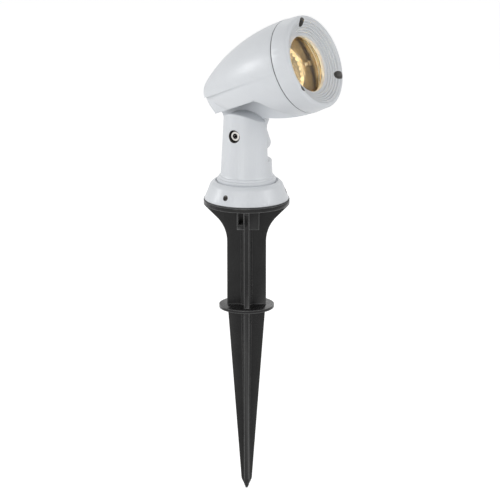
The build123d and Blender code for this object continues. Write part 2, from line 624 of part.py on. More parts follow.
nut_pocket = RegularPolygon(NUT_AF / 2 + 0.15, 6, major_radius=False)
head_body = head_body - rod_y(KNUCKLE_CUP_R, 0, HALF_GAP + KNUCKLE_CUP_DEPTH)
head_body = head_body - rod_y(BOLT_R + RUNNING_GAP, 0, 30)
head_body = head_body - Pos(0, POCKET_Y, 0) * Rot(-90, 0, 0) * extrude(nut_pocket, 30)
cross_x = -LAP_CROSS_R * cos(radians(TILT))
cross_z = LAP_CROSS_R * sin(radians(TILT))
head_route = [
    (cross_x, HALF_GAP + 0.1, cross_z), (cross_x, 6.0, cross_z), (-7.0, 6.0, 13.0),
    (-15.0, 4.0, 34.0), (-17.0, 0, AXIS_RISE), (holder_back, 0, AXIS_RISE),
]
head_radii = [4.0, 9.0, 9.0, 5.0]
head_body = head_body - lead(head_route, head_radii, WIRE_BORE_R)
keep("head_housing", in_head(head_body))
keep("head_lead", in_head(lead(head_route, head_radii, LEAD_R)))

washer = rod_y(NUT_AF / 2 - 0.05, POCKET_Y, POCKET_Y + WASHER_T)
keep("knuckle_washer", in_head(washer - rod_y(BOLT_R + 0.1, 0, 30)))
nut_hex = RegularPolygon(NUT_AF / 2, 6, major_radius=False)
nut_y = POCKET_Y + WASHER_T
knuckle_nut = Pos(0, nut_y, 0) * Rot(-90, 0, 0) * extrude(nut_hex, NUT_H)
keep("knuckle_nut", in_head(knuckle_nut - rod_y(BOLT_R + RUNNING_GAP, 0, 30)))

# ---- bezel, glass and seals ----------------------------------------------------------------
lip_x = BEZEL_X + LIP_X
edge_x = BEZEL_X + BEZEL_DEPTH
edge_run = edge_x - lip_x
edge_rise = BEZEL_FRONT_R - WINDOW_R
reach = sqrt(edge_run**2 + edge_rise**2 - BEZEL_EDGE_R**2)
dish_angle = atan(edge_run / edge_rise) + atan(BEZEL_EDGE_R / reach)
dish_run = sin(dish_angle)
dish_rise = cos(dish_angle)
dish_end = (lip_x + reach * dish_run, WINDOW_R + reach * dish_rise)
side_angle = atan((HEAD_R - BEZEL_FRONT_R - BEZEL_EDGE_R) / BEZEL_DEPTH)
edge_top = (edge_x + BEZEL_EDGE_R * sin(side_angle), BEZEL_FRONT_R + BEZEL_EDGE_R * cos(side_angle))
edge_mid_turn = (side_angle + radians(90) - dish_angle) / 2 + 0.35
edge_mid = (
    edge_x + BEZEL_EDGE_R * sin(edge_mid_turn), BEZEL_FRONT_R + BEZEL_EDGE_R * cos(edge_mid_turn)
)
hub_x = BEZEL_X - HUB_BACK
seat_x = lip_x - LIP_T
with BuildSketch() as bezel_outline:
    with BuildLine():
        Polyline((BEZEL_X, HEAD_R - 0.1), edge_top)
        ThreePointArc(edge_top, edge_mid, dish_end)
        Polyline(
            dish_end, (lip_x, WINDOW_R), (seat_x, WINDOW_R), (seat_x, SEAT_R), (hub_x, SEAT_R),
            (hub_x, HUB_R), (BEZEL_X, HUB_R), (BEZEL_X, HEAD_R - 0.1),
        )
    make_face()
bezel = revolve(bezel_outline.sketch, Axis.X)
ripple_pitch = (reach - 3.0) / RIPPLES
for i in range(RIPPLES):
    along = 1.6 + (i + 0.5) * ripple_pitch
    ripple_x = lip_x + along * dish_run
    ripple_r = WINDOW_R + along * dish_rise
    bezel = bezel - turned_x(
        (ripple_x - 0.6 * dish_run + 0.5 * dish_rise, ripple_r - 0.6 * dish_rise - 0.5 * dish_run),
        (ripple_x - RIPPLE_DEPTH * dish_rise, ripple_r + RIPPLE_DEPTH * dish_run),
        (ripple_x + 0.6 * dish_run + 0.5 * dish_rise, ripple_r + 0.6 * dish_rise - 0.5 * dish_run),
    )
ring_slot_x = seat_x - 4.9
ring_slot_w = 1.3
bezel = bezel - turned_x(
    (ring_slot_x, SEAT_R - 1), (ring_slot_x, SEAT_R + 1.1),
    (ring_slot_x + ring_slot_w, SEAT_R + 1.1), (ring_slot_x + ring_slot_w, SEAT_R - 1),
)
screw_seat = BEZEL_X + SCREW_SEAT_X
screw_way = rod_x(SCREW_CBORE_R, screw_seat, screw_seat + 20) + rod_x(SCREW_R + 0.25, 60, 120)
for turn in thirds:
    bezel = bezel - turn * (Pos(0, 0, SCREW_CIRCLE_R) * screw_way)
keep("front_bezel", on_axis(bezel))

bezel_screws = []
for turn in thirds:
    screw = rod_x(SCREW_R, screw_seat - SCREW_L, screw_seat + 0.5)
    screw_head = rod_x(SCREW_HEAD_R, screw_seat, screw_seat + SCREW_HEAD_H)
    head_rim = screw_head.edges().filter_by(GeomType.CIRCLE).sort_by(Axis.X)[-1:]
    screw_head = fillet(head_rim, 0.4)
    key_top = screw_seat + SCREW_HEAD_H
    screw = screw + screw_head - hexagon_x(SCREW_SOCKET_AF, key_top - 2.4, key_top + 1)
    bezel_screws.append(on_axis(turn * (Pos(0, 0, SCREW_CIRCLE_R) * screw)))
keep("bezel_screws", bezel_screws)

seal_in = HEAD_R - WALL + 0.1
bezel_seal = turned_x((SEAM_X, seal_in), (SEAM_X, HEAD_R - 0.5), (BEZEL_X, HEAD_R - 0.5),
                      (BEZEL_X, seal_in))
keep("bezel_seal", on_axis(bezel_seal))

gasket_t = 0.6
glass_x = seat_x - gasket_t - GLASS_T
gasket_back = glass_x - gasket_t
keep("front_glass", on_axis(rod_x(GLASS_R, glass_x, glass_x + GLASS_T)))
gasket_in = WINDOW_R + 1.6
glass_gasket = turned_x(
    (seat_x, gasket_in), (seat_x, SEAT_R - 0.05), (gasket_back, SEAT_R - 0.05),
    (gasket_back, gasket_in), (glass_x, gasket_in), (glass_x, GLASS_R + 0.02),
    (glass_x + GLASS_T, GLASS_R + 0.02), (glass_x + GLASS_T, gasket_in),
)
keep("glass_gasket", on_axis(glass_gasket))
snap_ring = turned_x(
    (ring_slot_x + 0.05, gasket_in + 0.4), (ring_slot_x + 0.05, SEAT_R + 1.0),
    (gasket_back, SEAT_R + 1.0), (gasket_back, gasket_in + 0.4),
)
snap_gap = block(60, 100, -2.2, 2.2, -50, 0)
keep("glass_snap_ring", on_axis(snap_ring - snap_gap))

# ---- lamp carrier and light sleeve ---------------------------------------------------------
sleeve_front = hub_x
sleeve = turned_x(
    (carrier_x, SLEEVE_R - SLEEVE_T), (carrier_x, SLEEVE_R), (sleeve_front, SLEEVE_R),
    (sleeve_front, SLEEVE_R - SLEEVE_T),
)
keep("light_sleeve", on_axis(sleeve))

carrier = rod_x(SLEEVE_R, carrier_back, carrier_x)
carrier = carrier - rod_x(CARRIER_HOLE_R, 0, 100)
for turn in arm_turns:
    carrier = carrier + turn * block(carrier_back, carrier_x, -4, 4, 30, ARM_R)
carrier_screw_spots = [Rot(90 + 120 * i, 0, 0) for i in range(3)]
for turn in carrier_screw_spots:
    carrier = carrier - turn * rod_x(1.6, 60, 80, 0, -CARRIER_SCREW_CIRCLE)
keep("lamp_carrier", on_axis(carrier))

carrier_screw_list = []
for turn in carrier_screw_spots:
    upright = pan_screw(5.0)
    lying = Pos(carrier_x, 0, -CARRIER_SCREW_CIRCLE) * Rot(0, 90, 0) * upright
    carrier_screw_list.append(on_axis(turn * (Pos(0.9, 0, 0) * lying)))
keep("lamp_clip_screws", carrier_screw_list)

clip_ring = turned_x(
    (LAMP_FACE_X, LAMP_R - 1.2), (LAMP_FACE_X + 0.9, LAMP_R - 1.2),
    (LAMP_FACE_X + 0.9, LAMP_R + 1.2), (carrier_x + 0.9, LAMP_R + 1.8),
    (carrier_x + 0.9, SLEEVE_R - SLEEVE_T - 0.2), (carrier_x, SLEEVE_R - SLEEVE_T - 0.2),
    (carrier_x, LAMP_R + 0.9), (LAMP_FACE_X, LAMP_R + 0.3),
)
for turn in carrier_screw_spots:
    clip_ring = clip_ring - turn * rod_x(1.6, 60, 80, 0, -CARRIER_SCREW_CIRCLE)
keep("lamp_retaining_ring", on_axis(clip_ring))

# ---- lamp, GU10 form --------------------------------------------------------------------
neck_x = LAMP_FACE_X - LAMP_L + 14.0
bowl_curve = [(carrier_back - 0.4, CARRIER_HOLE_R - 0.5), (60.0, 21.2), (50.0, 16.6)]
neck_r = 11.0
bowl = turned_x(
    (LAMP_FACE_X, LAMP_R), (carrier_x, LAMP_R), (carrier_x, CARRIER_HOLE_R - 0.2), *bowl_curve,
    (neck_x + 8, neck_r + 0.6), (neck_x + 8, 6.0), (neck_x + 10, neck_r - 2.0),
    (50.0 + 1.2, 16.6 - LAMP_WALL), (60.0 + 0.9, 21.2 - LAMP_WALL),
    (carrier_x + 1.0, LAMP_R - LAMP_WALL), (LAMP_FACE_X, LAMP_R - LAMP_WALL),
)
keep("lamp_reflector", on_axis(bowl))
lens_t = 1.4
lens_r = LAMP_R - LAMP_WALL - 0.05
keep("lamp_lens", on_axis(rod_x(lens_r, LAMP_FACE_X - lens_t, LAMP_FACE_X)))
emitter = rod_x(5.0, neck_x + 8.05, neck_x + 11.0)
keep("lamp_emitter", on_axis(emitter))
lamp_base = turned_x(
    (base_back, 0), (base_back, 9.0), (neck_x - 4, 9.0), (neck_x, neck_r),
    (neck_x + 8, neck_r + 0.6), (neck_x + 8, 0),
)
base_rim = lamp_base.edges().filter_by(GeomType.CIRCLE).sort_by(Axis.X)[:1]
lamp_base = fillet(base_rim, 1.0)
keep("lamp_base", on_axis(lamp_base))

pins = []
for side in (-1, 1):
    pin = rod_x(PIN_R, base_back - 4.0, base_back, side * PIN_SPREAD)
    pin = pin + rod_x(2.4, base_back - 6.2, base_back - 4.0, side * PIN_SPREAD)
    pins.append(on_axis(pin))
keep("lamp_pins", pins)

holder = rod_x(HOLDER_R, holder_back, holder_front)
holder = holder - rod_x(3.0, holder_back - 1, holder_back + 9)
for side in (-1, 1):
    holder = holder - rod_x(2.7, holder_front - 7.2, holder_front + 1, side * PIN_SPREAD)
keep("lampholder", on_axis(holder))

bracket = block(bracket_x, holder_back, -BRACKET_HALF - 3.4, BRACKET_HALF + 3.4, -5, 5)
bracket = bracket - rod_x(3.2, -40, 40)
for side in (-1, 1):
    bracket = bracket - rod_x(1.6, -40, 40, side * BRACKET_HALF)
keep("holder_bracket", on_axis(bracket))
bracket_screw_list = []
for side in (-1, 1):
    lying = Pos(holder_back, side * BRACKET_HALF, 0) * Rot(0, 90, 0) * pan_screw(7.0)
    bracket_screw_list.append(on_axis(lying))
keep("bracket_screws", bracket_screw_list)

for name, shape in parts.items():
    print(name, round(shape.volume), len(shape.solids()))

os.makedirs("parts", exist_ok=True)
for name, shape in parts.items():
    export_step(shape, f"parts/{name}.step")
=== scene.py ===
"""Garden spotlight on a ground spike: finishes, rounded castings and the lit lamp."""
import json
from math import cos, pi, radians, sin

import bmesh
import bpy
import numpy as np
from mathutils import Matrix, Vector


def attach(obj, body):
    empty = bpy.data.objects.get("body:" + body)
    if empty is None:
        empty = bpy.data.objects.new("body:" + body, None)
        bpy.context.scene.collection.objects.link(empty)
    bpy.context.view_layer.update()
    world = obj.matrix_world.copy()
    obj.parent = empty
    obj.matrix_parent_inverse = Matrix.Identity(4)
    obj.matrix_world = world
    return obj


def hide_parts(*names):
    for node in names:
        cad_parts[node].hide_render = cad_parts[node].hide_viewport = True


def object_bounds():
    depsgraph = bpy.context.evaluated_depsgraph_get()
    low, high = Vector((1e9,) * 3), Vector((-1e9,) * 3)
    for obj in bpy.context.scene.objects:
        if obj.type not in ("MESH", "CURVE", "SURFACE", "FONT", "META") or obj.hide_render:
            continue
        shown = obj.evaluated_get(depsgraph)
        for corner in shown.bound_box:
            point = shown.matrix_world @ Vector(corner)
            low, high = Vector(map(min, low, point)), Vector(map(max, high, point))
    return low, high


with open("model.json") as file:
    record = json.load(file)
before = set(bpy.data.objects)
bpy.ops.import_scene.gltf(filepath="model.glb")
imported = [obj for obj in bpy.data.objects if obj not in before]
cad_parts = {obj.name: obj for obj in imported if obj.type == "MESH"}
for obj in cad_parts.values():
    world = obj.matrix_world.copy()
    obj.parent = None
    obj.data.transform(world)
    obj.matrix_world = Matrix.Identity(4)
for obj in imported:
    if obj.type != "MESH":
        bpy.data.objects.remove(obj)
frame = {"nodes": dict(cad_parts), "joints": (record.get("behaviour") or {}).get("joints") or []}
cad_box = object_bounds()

nodes = frame["nodes"]
tilt_pivot = next(joint for joint in frame["joints"] if joint["name"] == "tilt")["pos_m"]

# ---- camera -------------------------------------------------------------------------------
# A long lens 2.7 m away, turned 32 degrees round from the tilt bolt's side towards the
# lamp's aim, and looking 15 degrees down.
view_turn = radians(32.0)
view_drop = radians(15.0)
camera_data = bpy.data.cameras.new("camera")
camera_data.sensor_width = 36.0
camera_data.lens = 201.2
camera = bpy.data.objects.new("camera", camera_data)
bpy.context.scene.collection.objects.link(camera)
camera_away = 2.7
camera_aside = 0.0034
camera_height = 0.782
camera.location = (
    camera_away * sin(view_turn) + camera_aside * cos(view_turn),
    -camera_away * cos(view_turn) + camera_aside * sin(view_turn),
    camera_height,
)
camera.rotation_euler = (pi / 2 - view_drop, 0, view_turn)
bpy.context.scene.camera = camera
bpy.context.scene.view_settings.view_transform = "Standard"


# ---- ground spike -------------------------------------------------------------------------
# One black glass-filled nylon moulding: four tapered ribs on a round core, a stop flange,
# gussets under a round plate, and the cable well. Its corners have small moulded radii.
def add(tree, kind, **settings):
    """A new node of one kind, with its properties and its plain input values set."""
    node = tree.nodes.new(kind)
    for name, value in settings.items():
        if name in node.inputs:
            node.inputs[name].default_value = value
        else:
            setattr(node, name, value)
    return node


def grain_group():
    """Fine and broad grain from Object coordinates: two noises, each stretched to fill 0 to 1."""
    group = bpy.data.node_groups.new("surface_grain", "ShaderNodeTree")
    face = group.interface
    for name, value in (("Fine Scale", 900.0), ("Broad Scale", 40.0)):
        face.new_socket(name=name, in_out="INPUT", socket_type="NodeSocketFloat").default_value = value
    for name in ("Fine", "Broad"):
        face.new_socket(name=name, in_out="OUTPUT", socket_type="NodeSocketFloat")
    enter = add(group, "NodeGroupInput")
    leave = add(group, "NodeGroupOutput")
    place = add(group, "ShaderNodeTexCoord")
    for name, low, high, detail in (("Fine", 0.32, 0.68, 2.0), ("Broad", 0.35, 0.65, 3.0)):
        noise = add(group, "ShaderNodeTexNoise", Detail=detail, Roughness=0.55)
        spread = add(group, "ShaderNodeMapRange")
        spread.inputs["From Min"].default_value = low
        spread.inputs["From Max"].default_value = high
        group.links.new(place.outputs["Object"], noise.inputs["Vector"])
        group.links.new(enter.outputs[name + " Scale"], noise.inputs["Scale"])
        group.links.new(noise.outputs["Fac"], spread.inputs["Value"])
        group.links.new(spread.outputs["Result"], leave.inputs[name])
    return group


grain = grain_group()


def finish(name, colour, other, rough, rough_spread, fine, broad, height, **shader):
    """A material whose colour drifts between two tones and whose skin has a fine relief.

    Colour follows the broad grain, roughness and relief the fine one. Plain shader values
    are set on the Principled sockets themselves.
    """
    material = bpy.data.materials.new(name)
    material.use_nodes = True
    tree = material.node_tree
    skin = tree.nodes["Principled BSDF"]
    for socket, value in shader.items():
        skin.inputs[socket.replace("_", " ")].default_value = value
    pattern = add(tree, "ShaderNodeGroup", node_tree=grain)
    pattern.inputs["Fine Scale"].default_value = fine
    pattern.inputs["Broad Scale"].default_value = broad
    tones = add(tree, "ShaderNodeMix", data_type="RGBA")
    tones.inputs[6].default_value = (*colour, 1.0)
    tones.inputs[7].default_value = (*other, 1.0)
    gloss = add(tree, "ShaderNodeMapRange")
    gloss.inputs["To Min"].default_value = rough - rough_spread
    gloss.inputs["To Max"].default_value = rough + rough_spread
    relief = add(tree, "ShaderNodeBump", Strength=1.0, Distance=height)
    tree.links.new(pattern.outputs["Broad"], tones.inputs[0])
    tree.links.new(pattern.outputs["Fine"], gloss.inputs["Value"])
    tree.links.new(pattern.outputs["Fine"], relief.inputs["Height"])
    tree.links.new(tones.outputs[2], skin.inputs["Base Color"])
    tree.links.new(gloss.outputs["Result"], skin.inputs["Roughness"])
    tree.links.new(relief.outputs["Normal"], skin.inputs["Normal"])
    return material


def bore_group():
    """Mask of a drilled bore: 1 ahead of a point, (p - point) . way > 0, and within a radius
    of its line, |(p - point) x way| < radius."""
    group = bpy.data.node_groups.new("drilled_bore", "ShaderNodeTree")
    face = group.interface
    face.new_socket(name="Point", in_out="INPUT", socket_type="NodeSocketVector")
    face.new_socket(name="Way", in_out="INPUT", socket_type="NodeSocketVector")
    face.new_socket(name="Radius", in_out="INPUT", socket_type="NodeSocketFloat")
    face.new_socket(name="Before", in_out="INPUT", socket_type="NodeSocketFloat")
    face.new_socket(name="Mask", in_out="OUTPUT", socket_type="NodeSocketFloat")
    enter = add(group, "NodeGroupInput")
    leave = add(group, "NodeGroupOutput")
    place = add(group, "ShaderNodeTexCoord")
    away = add(group, "ShaderNodeVectorMath", operation="SUBTRACT")
    across = add(group, "ShaderNodeVectorMath", operation="CROSS_PRODUCT")
    size = add(group, "ShaderNodeVectorMath", operation="LENGTH")
    inside = add(group, "ShaderNodeMath", operation="LESS_THAN")
    along = add(group, "ShaderNodeVectorMath", operation="DOT_PRODUCT")
    ahead = add(group, "ShaderNodeMath", operation="GREATER_THAN")
    ahead.inputs[1].default_value = 0.0
    both = add(group, "ShaderNodeMath", operation="MULTIPLY")
    worst = add(group, "ShaderNodeMath", operation="MAXIMUM")
    group.links.new(away.outputs["Vector"], along.inputs[0])
    group.links.new(enter.outputs["Way"], along.inputs[1])
    group.links.new(along.outputs["Value"], ahead.inputs[0])
    group.links.new(inside.outputs["Value"], both.inputs[0])
    group.links.new(ahead.outputs["Value"], both.inputs[1])
    group.links.new(place.outputs["Object"], away.inputs[0])
    group.links.new(enter.outputs["Point"], away.inputs[1])
    group.links.new(away.outputs["Vector"], across.inputs[0])
    group.links.new(enter.outputs["Way"], across.inputs[1])
    group.links.new(across.outputs["Vector"], size.inputs[0])
    group.links.new(size.outputs["Value"], inside.inputs[0])
    group.links.new(enter.outputs["Radius"], inside.inputs[1])
    group.links.new(both.outputs["Value"], worst.inputs[0])
    group.links.new(enter.outputs["Before"], worst.inputs[1])
    group.links.new(worst.outputs["Value"], leave.inputs["Mask"])
    return group


bore = bore_group()


def shade_bores(material, bores, shade_tone):
    """Paints a dark colour into bores under a coat, as painted shade in those recesses: each bore is a
    (point, way, radius), and the last argument is that dark colour.
    """
    tree = material.node_tree
    skin = tree.nodes["Principled BSDF"]
    coat = skin.inputs["Base Color"].links[0].from_socket
    mask = None
    for point, way, radius in bores:
        hole = add(tree, "ShaderNodeGroup", node_tree=bore)
        hole.inputs["Point"].default_value = point
        hole.inputs["Way"].default_value = way
        hole.inputs["Radius"].default_value = radius
        if mask is not None:
            tree.links.new(mask, hole.inputs["Before"])
        mask = hole.outputs["Mask"]
    # Inside the bores the coat gives way to the dark colour of the painted shade.
    pick = add(tree, "ShaderNodeMix", data_type="RGBA")
    pick.inputs[7].default_value = (*shade_tone, 1.0)
    tree.links.new(mask, pick.inputs[0])
    tree.links.new(coat, pick.inputs[6])
    tree.links.new(pick.outputs[2], skin.inputs["Base Color"])
    return material


def wear(material, *names):
    """Gives a material to CAD nodes."""
    for name in names:
        slots = nodes[name].data.materials
        slots.clear()
        slots.append(material)


black_plastic = finish(
    "black_plastic", (0.008, 0.008, 0.008), (0.013, 0.013, 0.013), 0.25, 0.05,
    1500.0, 45.0, 0.00002, Specular_IOR_Level=0.22,
)


def pale_edges(material, width, pale):
    """A paler colour along the edges, which stands in for the light that small radii catch.

    amount = (flat - n_rounded . n_face) / (flat - sharp), clamped to 0..1, over a band of
    this width.
    """
    flat = 0.995
    sharp = 0.75
    tree = material.node_tree
    skin = tree.nodes["Principled BSDF"]
    coat = skin.inputs["Base Color"].links[0].from_socket
    bent = add(tree, "ShaderNodeBevel", samples=6)
    bent.inputs["Radius"].default_value = width
    face = add(tree, "ShaderNodeNewGeometry")
    same = add(tree, "ShaderNodeVectorMath", operation="DOT_PRODUCT")
    amount = add(tree, "ShaderNodeMapRange")
    amount.inputs["From Min"].default_value = flat
    amount.inputs["From Max"].default_value = sharp
    blend = add(tree, "ShaderNodeMix", data_type="RGBA")
    blend.inputs["B"].default_value = (*pale, 1.0)
    tree.links.new(bent.outputs["Normal"], same.inputs[0])
    tree.links.new(face.outputs["True Normal"], same.inputs[1])
    tree.links.new(same.outputs["Value"], amount.inputs["Value"])
    tree.links.new(amount.outputs["Result"], blend.inputs["Factor"])
    tree.links.new(coat, blend.inputs["A"])
    tree.links.new(blend.outputs["Result"], skin.inputs["Base Color"])
    return material


wear(pale_edges(black_plastic, 0.0012, (0.15, 0.15, 0.15)), "cord_clamp")


def rounded(node, body, radius, material):
    """A copy of a CAD node with its sharp corners rolled over by a small radius.

    The copy's loose triangles are merged and its flat areas joined; every edge that turns
    more than 32 degrees then gets an arc of the given radius.
    """
    least_turn = radians(32.0)
    same_place = 2e-6
    same_plane = radians(0.6)
    mesh = nodes[node].data.copy()
    mesh.name = node + "_rounded"
    shape = bmesh.new()
    shape.from_mesh(mesh)
    bmesh.ops.remove_doubles(shape, verts=shape.verts, dist=same_place)
    bmesh.ops.dissolve_limit(shape, angle_limit=same_plane, verts=shape.verts, edges=shape.edges)
    shape.to_mesh(mesh)
    shape.free()
    mesh.materials.clear()
    mesh.materials.append(material)
    piece = bpy.data.objects.new(node + "_rounded", mesh)
    bpy.context.scene.collection.objects.link(piece)
    roll = piece.modifiers.new("corner_radius", "BEVEL")
    roll.width = radius
    roll.segments = 2
    roll.limit_method = "ANGLE"
    roll.angle_limit = least_turn
    roll.harden_normals = True
    mesh.shade_smooth()
    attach(piece, body)
    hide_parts(node)


rounded("ground_spike", "stake", 0.0008, black_plastic)

# ---- rubber parts ----------------------------------------------------------------------------
# Gasket, cable grommet, O-rings and the bezel's seal: black moulded EPDM, matt all over.
rubber = finish(
    "black_rubber", (0.018, 0.018, 0.019), (0.028, 0.028, 0.029), 0.68, 0.08, 2200.0, 90.0, 0.00002,
)
wear(rubber, "base_gasket", "cable_grommet", "swivel_o_ring", "knuckle_seal", "bezel_seal")

# ---- white castings -----------------------------------------------------------------------------
# Base canopy, stem, head housing and bezel: die-cast aluminium under a satin white powder
# coat, with the faint orange peel that such a coat has.
# Painted shade: this near-black colour fills the canopy's set screw bores and the counterbore round the
# tilt bolt, where shade falls.
bore_shade = (0.045, 0.042, 0.038)
aim = radians(21.7)
aim_way = np.array([cos(aim), 0.0, sin(aim)])
pivot = np.array(tilt_pivot)
axis_rise = 0.0453


def in_head(along, up, side):
    """Places at rest from arrays or numbers: along the lamp's axis, up from it and to +Y.

    place = pivot + along * aim_way + (axis_rise + up) * aim_up + (0, side, 0)
    """
    rise = axis_rise + up
    x = along * cos(aim) - rise * sin(aim)
    z = pivot[2] + along * sin(aim) + rise * cos(aim)
    return np.stack([x, side + 0 * x, z], axis=-1)


thirds = (0.0, 2 * pi / 3, 4 * pi / 3)
bezel_start = 0.09
screw_circle = 0.040
bezel_bore_r = 0.0043
bezel_bores = [
    (in_head(bezel_start, screw_circle * cos(turn), screw_circle * sin(turn)), aim_way, bezel_bore_r)
    for turn in thirds
]
set_screw_z = 0.1201
set_screw_bore_r = 0.0027
canopy_bores = [
    ((0.0, 0.0, set_screw_z), (sin(turn), -cos(turn), 0.0), set_screw_bore_r) for turn in thirds
]
bolt_way = (0.0, -1.0, 0.0)
counterbore_r = 0.0064
# Painted shade: a dark grey in the bezel's three screw bores.
bezel_bore_shade = (0.17, 0.165, 0.16)


def turned_rings(material, point, way, inner, outer, pitch, depth):
    """Fine turning rings round an axis: height = sin(2 pi r / pitch) between two radii.

    r is the distance from the axis, |(p - point) x way|, and the coat's own relief stays.
    """
    tree = material.node_tree
    place = add(tree, "ShaderNodeTexCoord")
    away = add(tree, "ShaderNodeVectorMath", operation="SUBTRACT")
    away.inputs[1].default_value = point
    across = add(tree, "ShaderNodeVectorMath", operation="CROSS_PRODUCT")
    across.inputs[1].default_value = way
    size = add(tree, "ShaderNodeVectorMath", operation="LENGTH")
    turns = add(tree, "ShaderNodeMath", operation="MULTIPLY")
    turns.inputs[1].default_value = 2 * pi / pitch
    wave = add(tree, "ShaderNodeMath", operation="SINE")
    after = add(tree, "ShaderNodeMath", operation="GREATER_THAN")
    after.inputs[1].default_value = inner
    before = add(tree, "ShaderNodeMath", operation="LESS_THAN")
    before.inputs[1].default_value = outer
    band = add(tree, "ShaderNodeMath", operation="MULTIPLY")
    height = add(tree, "ShaderNodeMath", operation="MULTIPLY")
    rings = add(tree, "ShaderNodeBump", Strength=1.0, Distance=depth)
    skin = tree.nodes["Principled BSDF"]
    coat = skin.inputs["Normal"].links[0].from_socket
    tree.links.new(place.outputs["Object"], away.inputs[0])
    tree.links.new(away.outputs["Vector"], across.inputs[0])
    tree.links.new(across.outputs["Vector"], size.inputs[0])
    for test in (turns, after, before):
        tree.links.new(size.outputs["Value"], test.inputs[0])
    tree.links.new(turns.outputs[0], wave.inputs[0])
    tree.links.new(after.outputs[0], band.inputs[0])
    tree.links.new(before.outputs[0], band.inputs[1])
    tree.links.new(wave.outputs[0], height.inputs[0])
    tree.links.new(band.outputs[0], height.inputs[1])
    tree.links.new(height.outputs[0], rings.inputs["Height"])
    tree.links.new(coat, rings.inputs["Normal"])
    tree.links.new(rings.outputs["Normal"], skin.inputs["Normal"])


def white_coat(name):
    """The satin white powder coat, cool and a little uneven in tone."""
    return finish(
        name, (0.650, 0.672, 0.700), (0.675, 0.697, 0.722), 0.38, 0.05, 650.0, 22.0, 0.00004,
        Specular_IOR_Level=0.5, Coat_Weight=0.12, Coat_Roughness=0.25,
    )


# The set screw bores, the tilt bolt's counterbore and the bezel's screw bores get their painted shade here.
canopy_white = shade_bores(white_coat("canopy_white"), canopy_bores, bore_shade)
stem_white = shade_bores(white_coat("stem_white"), [(pivot, bolt_way, counterbore_r)], bore_shade)
housing_white = white_coat("housing_white")
bezel_white = shade_bores(white_coat("bezel_white"), bezel_bores, bezel_bore_shade)
rounded("base_canopy", "stake", 0.0004, canopy_white)
rounded("stem", "stem", 0.0004, stem_white)
rounded("head_housing", "head", 0.0008, housing_white)
turned_rings(
    bezel_white, in_head(bezel_start, 0.0, 0.0), aim_way,
    inner=0.0295, outer=0.0428, pitch=0.0022, depth=0.00025,
)
rounded("front_bezel", "head", 0.0003, bezel_white)

# ---- fasteners ------------------------------------------------------------------------------
# Stainless screws, bolt, nuts and washers: turned and tumbled, so they shine softly.
stainless = finish(
    "stainless", (0.40, 0.385, 0.36), (0.48, 0.465, 0.44), 0.27, 0.08, 3200.0, 200.0, 0.00001, Metallic=1.0,
)
# A darker copy of the stainless for the base's set screws: painted shade, as they sit down in their bores.
shaded_steel = finish(
    "shaded_steel", (0.12, 0.115, 0.11), (0.19, 0.18, 0.17), 0.30, 0.08, 3200.0, 200.0, 0.00001, Metallic=1.0,
)
wear(
    stainless, "bezel_screws", "knuckle_washer", "knuckle_nut",
    "glass_snap_ring", "cord_clamp_screws", "terminal_block_screw",
    "bracket_screws", "swivel_washer", "swivel_nut", "holder_bracket",
)
wear(shaded_steel, "base_set_screws")
bolt_steel = finish(
    "bolt_steel", (0.58, 0.56, 0.53), (0.66, 0.64, 0.61), 0.22, 0.06, 3200.0, 200.0, 0.00001, Metallic=1.0,
)
bolt_socket_r = 0.0027
# Painted shade: near black in the tilt bolt's hex socket.
socket_shade = (0.012, 0.012, 0.012)
wear(shade_bores(bolt_steel, [(pivot, bolt_way, bolt_socket_r)], socket_shade), "knuckle_bolt")
brass = finish(
    "brass", (0.72, 0.52, 0.22), (0.80, 0.60, 0.28), 0.30, 0.08, 2600.0, 150.0, 0.00001, Metallic=1.0,
)
wear(brass, "lamp_pins", "terminal_screws", "earth_screw")

# ---- nylon, ceramic and leads inside -------------------------------------------------------------
# The thrust washer and terminal block are natural nylon, the lampholder and the lamp's base
# are electrical ceramic, and the leads have a dark rubber sheath.
nylon = finish(
    "white_nylon", (0.70, 0.69, 0.64), (0.76, 0.75, 0.70), 0.45, 0.05, 1200.0, 60.0, 0.00002,
    Subsurface_Weight=0.08,
)
wear(nylon, "thrust_washer", "terminal_block")
steatite = finish(
    "steatite", (0.74, 0.72, 0.66), (0.80, 0.78, 0.72), 0.62, 0.08, 1800.0, 120.0, 0.00003,
)
wear(steatite, "lampholder", "lamp_base")
sheath = finish(
    "lead_sheath", (0.040, 0.040, 0.042), (0.055, 0.055, 0.057), 0.55, 0.06, 1500.0, 80.0, 0.00002,
)
wear(sheath, "base_lead", "stem_lead", "head_lead")

# ---- light chamber -----------------------------------------------------------------------------
# Round the lamp's rim, the carrier plate and the retaining ring have a warm bronze-toned satin
# finish, and the spun aluminium sleeve a brighter polish of the same tone. The clip screws are
# plated, and the gasket under the glass is cream silicone.
bronze = finish(
    "bronze_aluminium", (0.40, 0.32, 0.20), (0.54, 0.44, 0.28), 0.20, 0.07, 1800.0, 160.0, 0.00002,
    Metallic=0.9,
)
wear(bronze, "lamp_carrier", "lamp_retaining_ring")
polished_bronze = finish(
    "polished_bronze", (0.50, 0.41, 0.27), (0.68, 0.56, 0.37), 0.12, 0.03, 1800.0, 110.0, 0.00002,
    Metallic=0.95,
)
wear(polished_bronze, "light_sleeve")
bright_screw = finish(
    "bright_screw", (0.86, 0.80, 0.66), (0.92, 0.86, 0.72), 0.12, 0.04, 2600.0, 150.0, 0.00001,
    Metallic=1.0,
)
wear(bright_screw, "lamp_clip_screws")
silicone = finish(
    "cream_silicone", (0.80, 0.68, 0.47), (0.84, 0.73, 0.52), 0.50, 0.06, 1400.0, 60.0, 0.00002,
    Subsurface_Weight=0.15,
)
wear(silicone, "glass_gasket")

